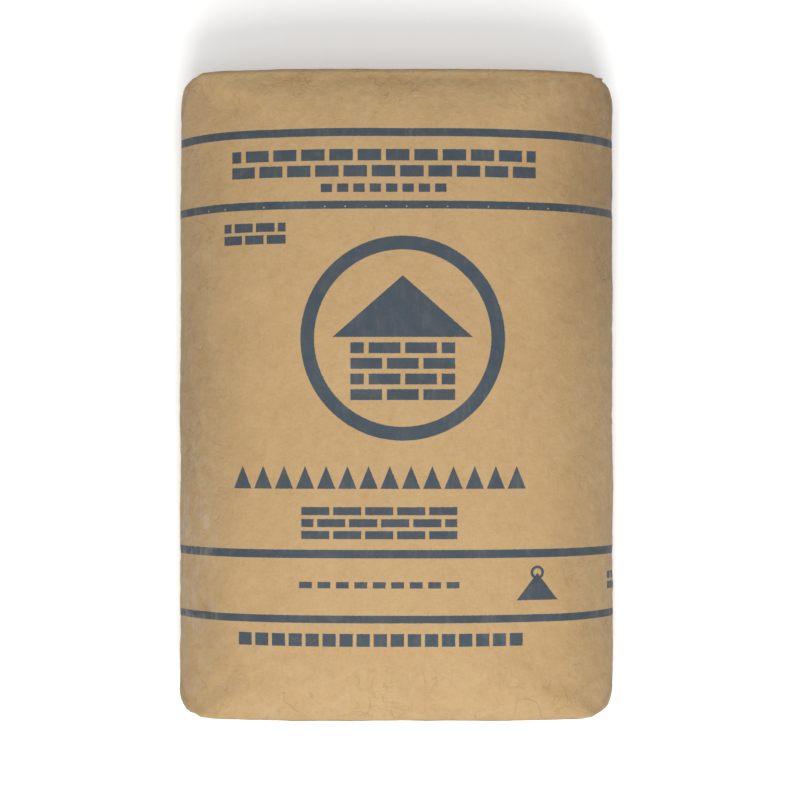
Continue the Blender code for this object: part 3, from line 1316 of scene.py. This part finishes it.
@dataclass
class ValveSleeve:
    """The flat paper tube of the filling valve, whose mouth shows at the head end's right corner."""

    width: float = 0.084
    thickness: float = 0.0022
    wall: float = 0.00035
    inner_end: float = 0.088
    outer_end: float = 0.1990
    middle_y: float = 0.3055
    middle_z: float = 0.069
    slump: Slump = Slump()

    def build(self) -> bpy.types.Mesh:
        """Draw a flat tube out along X, with its mouth a little open.

        Returns:
            The sleeve's mesh.
        """
        work = bmesh.new()
        bmesh.ops.create_circle(work, cap_ends=False, radius=1.0, segments=48)
        steps = 24
        for _ in range(steps):
            rim = [e for e in work.edges if len(e.link_faces) < 2 and all(abs(v.co.z) < TINY for v in e.verts)]
            made = bmesh.ops.extrude_edge_only(work, edges=rim)["geom"]
            others = [v for v in work.verts if v not in made]
            bmesh.ops.translate(work, vec=(0.0, 0.0, 1.0), verts=others)
        for vertex in work.verts:
            share = vertex.co.z / steps
            gape = 1.0 + 0.5 * smooth_step(np.array([share]), 0.80, 1.0)[0]
            flatness = math.copysign(abs(vertex.co.y) ** 0.6, vertex.co.y)
            ripple = 0.0003 * noise.noise(Vector((vertex.co.x * 2.0, share * 5.0, 4.0)))
            x = self.inner_end + (self.outer_end - self.inner_end) * share
            y = self.middle_y + flatness * self.thickness / 2 * gape + ripple
            z = self.middle_z + vertex.co.x * self.width / 2
            vertex.co = self.slump.lower(np.array([[x, y, z]]))[0]
        bmesh.ops.recalc_face_normals(work, faces=work.faces[:])
        paper = work.loops.layers.uv.new("paper")
        for face in work.faces:
            for loop in face.loops:
                loop[paper].uv = (loop.vert.co.x + 2.0, loop.vert.co.z + 0.3 * (face.normal.y > 0))
        mesh = bpy.data.meshes.new("valve_sleeve_paper")
        work.to_mesh(mesh)
        work.free()
        tube = bpy.data.objects.new("tube", mesh)
        bpy.context.scene.collection.objects.link(tube)
        wall = tube.modifiers.new("wall", "SOLIDIFY")
        wall.thickness = self.wall
        wall.offset = -1.0
        return bake_modifiers(tube)

    def dress(self, mesh: bpy.types.Mesh) -> bpy.types.Object:
        """Give the sleeve its paler paper and put it in place of its CAD node."""
        places = read_vectors(mesh.vertices, "co")
        mouth = smooth_step(places[:, 0], self.outer_end - 0.010, self.outer_end)
        write_shares(mesh, "wear", 0.4 * mouth)
        write_shares(mesh, "dust", 0.2 + 0.5 * mouth)
        finish = KraftFinish("sleeve_kraft_paper", light=(0.41, 0.31, 0.18), dark=(0.32, 0.23, 0.12)).make()
        piece = show_piece("valve_sleeve_tube", mesh, finish)
        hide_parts("valve_sleeve")
        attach(piece, BODY)
        return piece


@dataclass
class CementFill:
    """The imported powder, which takes the shape of the sack round it."""

    inset: float = 0.0016

    def build(self, skin: bpy.types.Mesh) -> bpy.types.Mesh:
        """Shrink a copy of the skin along its normals.

        Args:
            skin: the skin's mesh.

        Returns:
            The fill's mesh.
        """
        mesh = skin.copy()
        mesh.name = "cement_powder"
        for name in ("cube", "wear", "hollow", "dust", "handled", "tan"):
            mesh.attributes.remove(mesh.attributes[name])
        mesh.uv_layers.remove(mesh.uv_layers["paper"])
        normals = read_vectors(mesh.vertices, "normal")
        places = read_vectors(mesh.vertices, "co")
        write_points(mesh, places - normals * self.inset)
        return mesh

    def dress(self, mesh: bpy.types.Mesh) -> bpy.types.Object:
        """Give the fill its grey powder and put it in place of its CAD node."""
        piece = show_piece("cement_fill", mesh, CementFinish("packed_cement").make())
        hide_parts("cement")
        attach(piece, BODY)
        return piece


@dataclass
class Studio:
    """The pale floor, the soft lights and the camera straight above the sack."""

    floor_half: float = 60.0
    camera_place: tuple[float, float, float] = (0.0034, -0.038, 2.182)
    camera_target: tuple[float, float, float] = (0.0034, -0.0048, 0.074)
    lens: float = 98.0
    world_colour: Colour = (1.0, 1.0, 1.0)
    world_strength: float = 0.30

    def aim(self, thing: bpy.types.Object, target: tuple[float, float, float]) -> None:
        """Turn a lamp or camera to look at a point, with +Y up in its picture."""
        look = Vector(target) - thing.location
        thing.rotation_euler = look.to_track_quat("-Z", "Y").to_euler()

    def place_camera(self) -> bpy.types.Object:
        """Make the camera.

        Returns:
            Its object.
        """
        lens = bpy.data.cameras.new("photo_camera")
        lens.lens = self.lens
        lens.sensor_width = 36.0
        lens.clip_start = 0.05
        lens.clip_end = 200.0
        camera = bpy.data.objects.new("photo_camera", lens)
        bpy.context.scene.collection.objects.link(camera)
        camera.location = self.camera_place
        self.aim(camera, self.camera_target)
        bpy.context.scene.camera = camera
        return camera

    def lay_floor(self) -> None:
        """Make the floor."""
        work = bmesh.new()
        bmesh.ops.create_grid(work, x_segments=1, y_segments=1, size=self.floor_half)
        bmesh.ops.translate(work, vec=(0.0, 0.0, FLOOR_Z), verts=work.verts[:])
        mesh = bpy.data.meshes.new("studio_floor")
        work.to_mesh(mesh)
        work.free()
        show_piece("studio_floor", mesh, FloorFinish("pale_floor").make())

    def hang_lamp(self, name: str, place: tuple[float, float, float], size: float, power: float) -> None:
        """Make one soft square lamp that points at the sack.

        Args:
            name: its name.
            place: where it hangs.
            size: its side.
            power: its watts.
        """
        light = bpy.data.lights.new(name, "AREA")
        light.size = size
        light.energy = power
        lamp = bpy.data.objects.new(name, light)
        bpy.context.scene.collection.objects.link(lamp)
        lamp.location = place
        self.aim(lamp, (0.0, 0.0, 0.07))

    def light_up(self) -> None:
        """Make the even pale surroundings and the lamps."""
        world = bpy.data.worlds.new("pale_room")
        world.use_nodes = True
        ground = world.node_tree.nodes["Background"]
        ground.inputs["Color"].default_value = (*self.world_colour, 1.0)
        ground.inputs["Strength"].default_value = self.world_strength
        bpy.context.scene.world = world
        bpy.context.scene.view_settings.view_transform = "Standard"
        self.hang_lamp("key_lamp", (0.04, -1.15, 1.75), 1.1, 40.0)
        self.hang_lamp("top_lamp", (-0.10, 0.25, 2.9), 2.2, 50.0)


def main() -> None:
    """Build every piece and the studio round it, and log the skin's box."""
    logging.basicConfig(level=logging.INFO, format="%(name)s: %(message)s")
    studio = Studio()
    studio.place_camera()
    skin = SackSkin()
    skin_mesh = skin.build()
    fill = CementFill()
    fill_piece = fill.dress(fill.build(skin_mesh))
    LOG.info("made %s", fill_piece.name)
    skin_piece = skin.dress(skin_mesh)
    LOG.info("made %s", skin_piece.name)
    bpy.context.view_layer.update()
    surface = BVHTree.FromObject(skin_piece, bpy.context.evaluated_depsgraph_get())
    for patch in (CoverPatch(End.HEAD, "head_cover_patch"), CoverPatch(End.FOOT, "foot_cover_patch", seed=8.0)):
        LOG.info("made %s", patch.dress(patch.build(surface)).name)
    sleeve = ValveSleeve()
    LOG.info("made %s", sleeve.dress(sleeve.build()).name)
    studio.lay_floor()
    studio.light_up()


if __name__ == "__main__":
    main()
